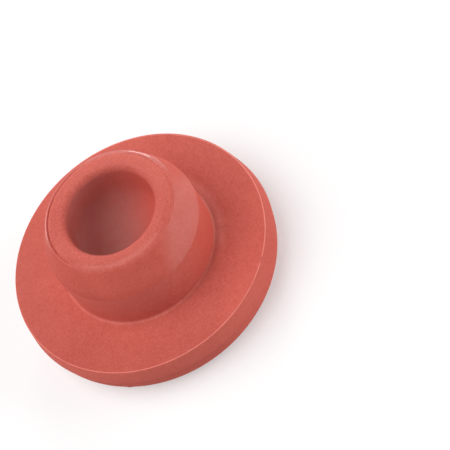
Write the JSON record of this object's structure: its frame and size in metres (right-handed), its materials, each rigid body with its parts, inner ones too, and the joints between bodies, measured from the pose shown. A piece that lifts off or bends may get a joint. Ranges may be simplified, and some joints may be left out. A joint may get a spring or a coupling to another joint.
{
  "type": "rubber stopper",
  "caption": "Moulded rubber vial stopper with a flat round flange, a raised target ring and a hollow plug with a lead-in cone and a rounded mouth.",
  "frame": {"origin": "on the stopper's axis, level with the crest of the target ring that it stands on", "axes": "+Z along the axis, from the flange towards the mouth of the plug"},
  "size_m": [0.0125, 0.0124, 0.006],
  "materials": {
    "rubber": "matte"
  },
  "bodies": {
    "root": {"stopper": "rubber"}
  },
  "joints": []
}
